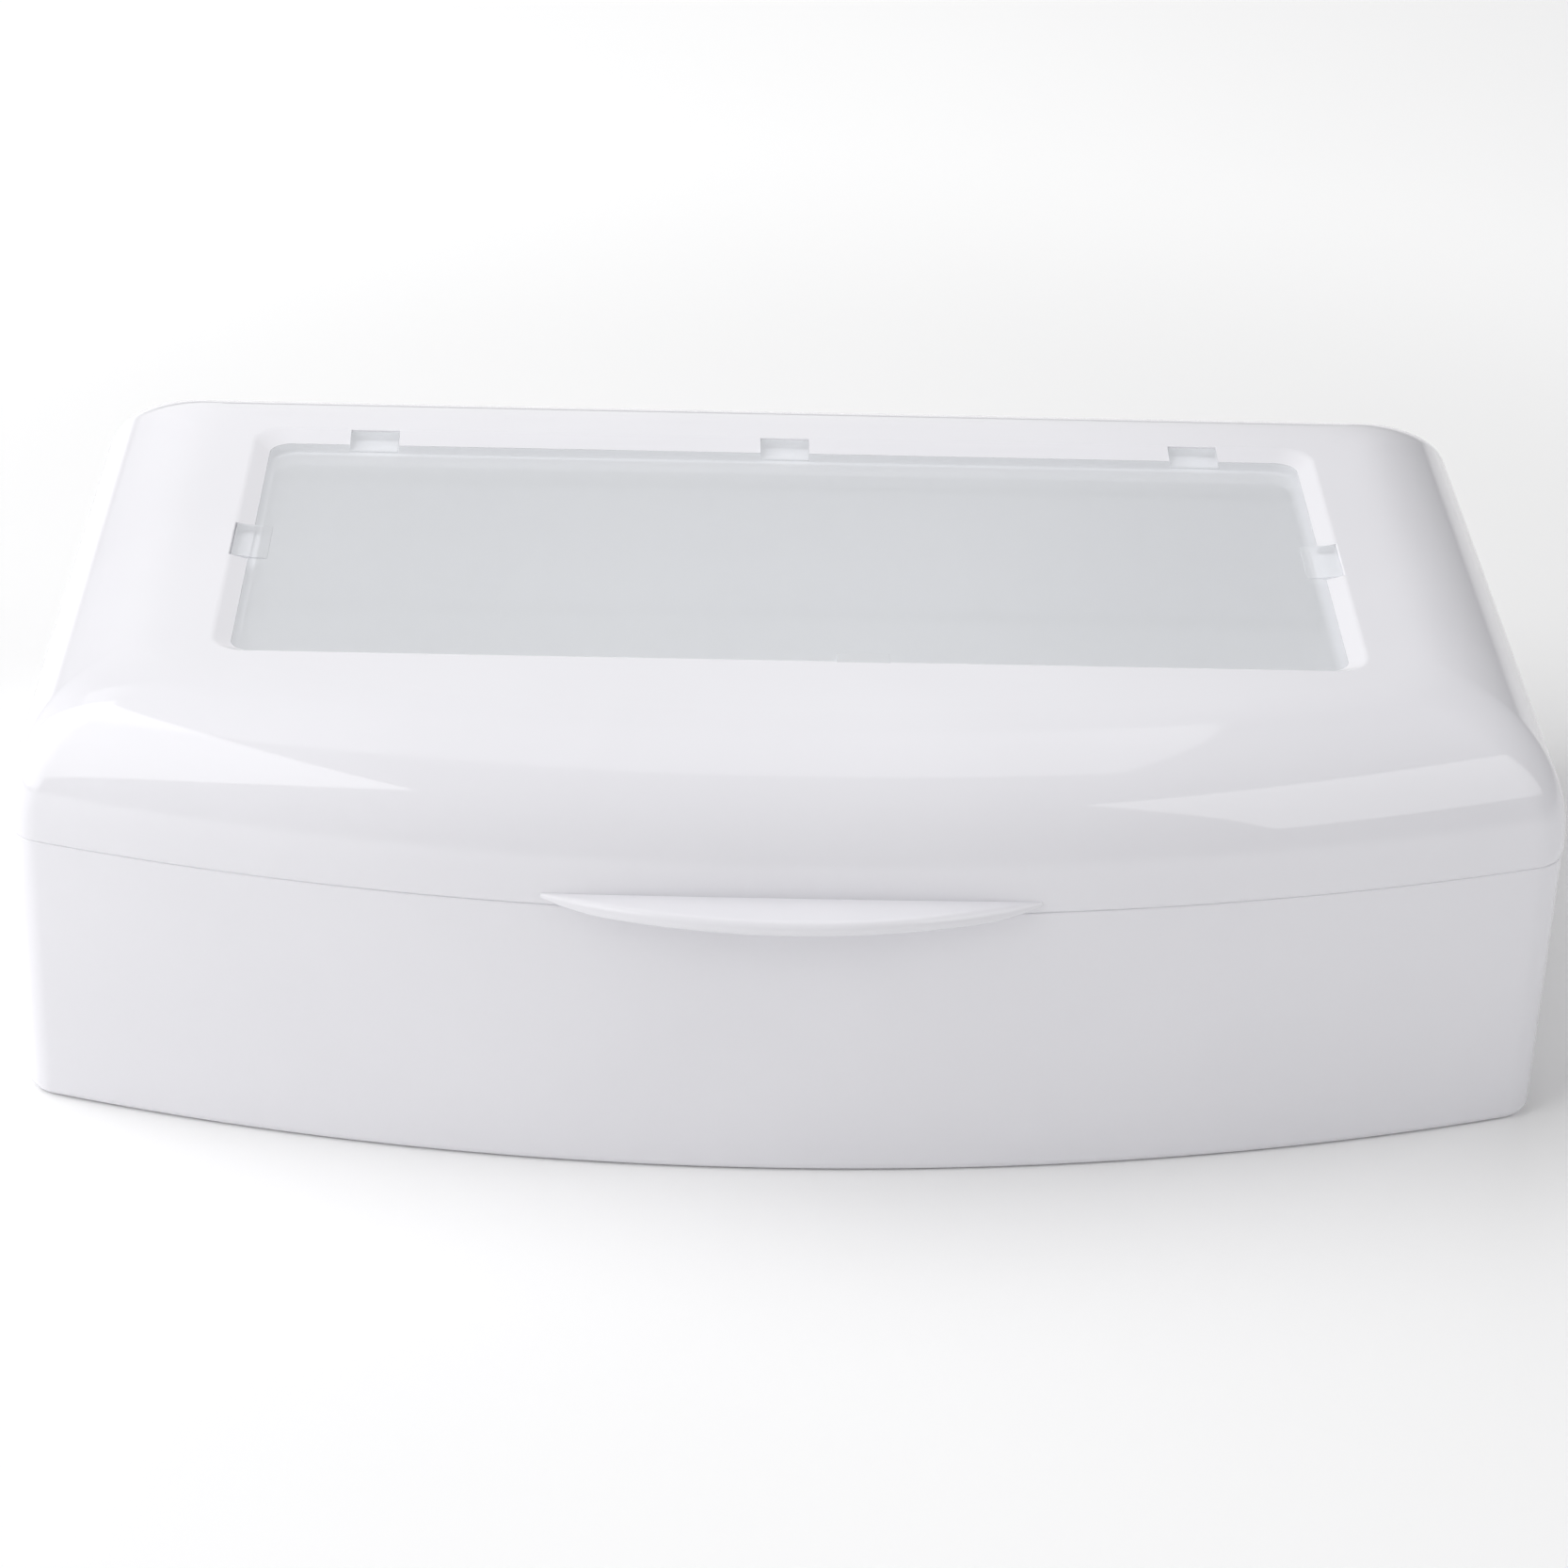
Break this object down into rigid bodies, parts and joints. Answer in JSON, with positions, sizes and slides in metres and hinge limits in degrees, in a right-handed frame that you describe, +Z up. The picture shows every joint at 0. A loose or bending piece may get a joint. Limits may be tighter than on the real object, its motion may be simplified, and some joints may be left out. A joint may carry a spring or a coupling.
{
  "type": "instrument disinfecting tray",
  "caption": "Low white plastic tub with a bowed front, a hinged round-shouldered lid with a frosted window, and a strainer basket that rises level as the lid opens.",
  "frame": {"origin": "centre of the closed box's bounding box, on the surface that the tub stands on", "axes": "+X to the right along the width, +Y from the bowed front to the hinges at the back, +Z up"},
  "size_m": [0.2578, 0.1774, 0.0738],
  "materials": {
    "shell_plastic": "glossy moulded white plastic",
    "frosted_pane": "frosted translucent plastic",
    "strainer_plastic": "satin moulded white plastic",
    "pin_steel": "turned stainless steel"
  },
  "bodies": {
    "base": {"base_tub": "shell_plastic", "hinge_pin_left": "pin_steel", "hinge_pin_right": "pin_steel", "link_foot_pin_left": "pin_steel", "link_foot_pin_right": "pin_steel"},
    "lid": {"lid_shell": "shell_plastic", "window_pane": "frosted_pane", "lift_pin_left": "pin_steel", "lift_pin_right": "pin_steel"},
    "basket": {"strainer_basket": "strainer_plastic", "link_head_pin_left": "pin_steel", "link_head_pin_right": "pin_steel"},
    "link_left": {"lift_link_left": "strainer_plastic"},
    "link_right": {"lift_link_right": "strainer_plastic"}
  },
  "joints": [
    {"name": "lid_hinge", "type": "hinge", "parent": "base", "child": "lid", "pos_m": [0, 0.08515, 0.0496], "axis": [-1, 0, 0], "range_deg": [0, 100]},
    {"name": "basket_level", "type": "hinge", "parent": "lid", "child": "basket", "pos_m": [0, 0.07115, 0.0353], "axis": [-1, 0, 0], "range_deg": [-100, 0]},
    {"name": "link_left_swing", "type": "hinge", "parent": "base", "child": "link_left", "pos_m": [-0.113, -0.01985, 0.0416], "axis": [-1, 0, 0], "range_deg": [0, 100]},
    {"name": "link_right_swing", "type": "hinge", "parent": "base", "child": "link_right", "pos_m": [0.113, -0.01985, 0.0416], "axis": [-1, 0, 0], "range_deg": [0, 100]}
  ],
  "couplings": [
    {"joint": "basket_level", "follows": "lid_hinge", "ratio": -1},
    {"joint": "link_left_swing", "follows": "lid_hinge", "ratio": 1},
    {"joint": "link_right_swing", "follows": "lid_hinge", "ratio": 1}
  ]
}
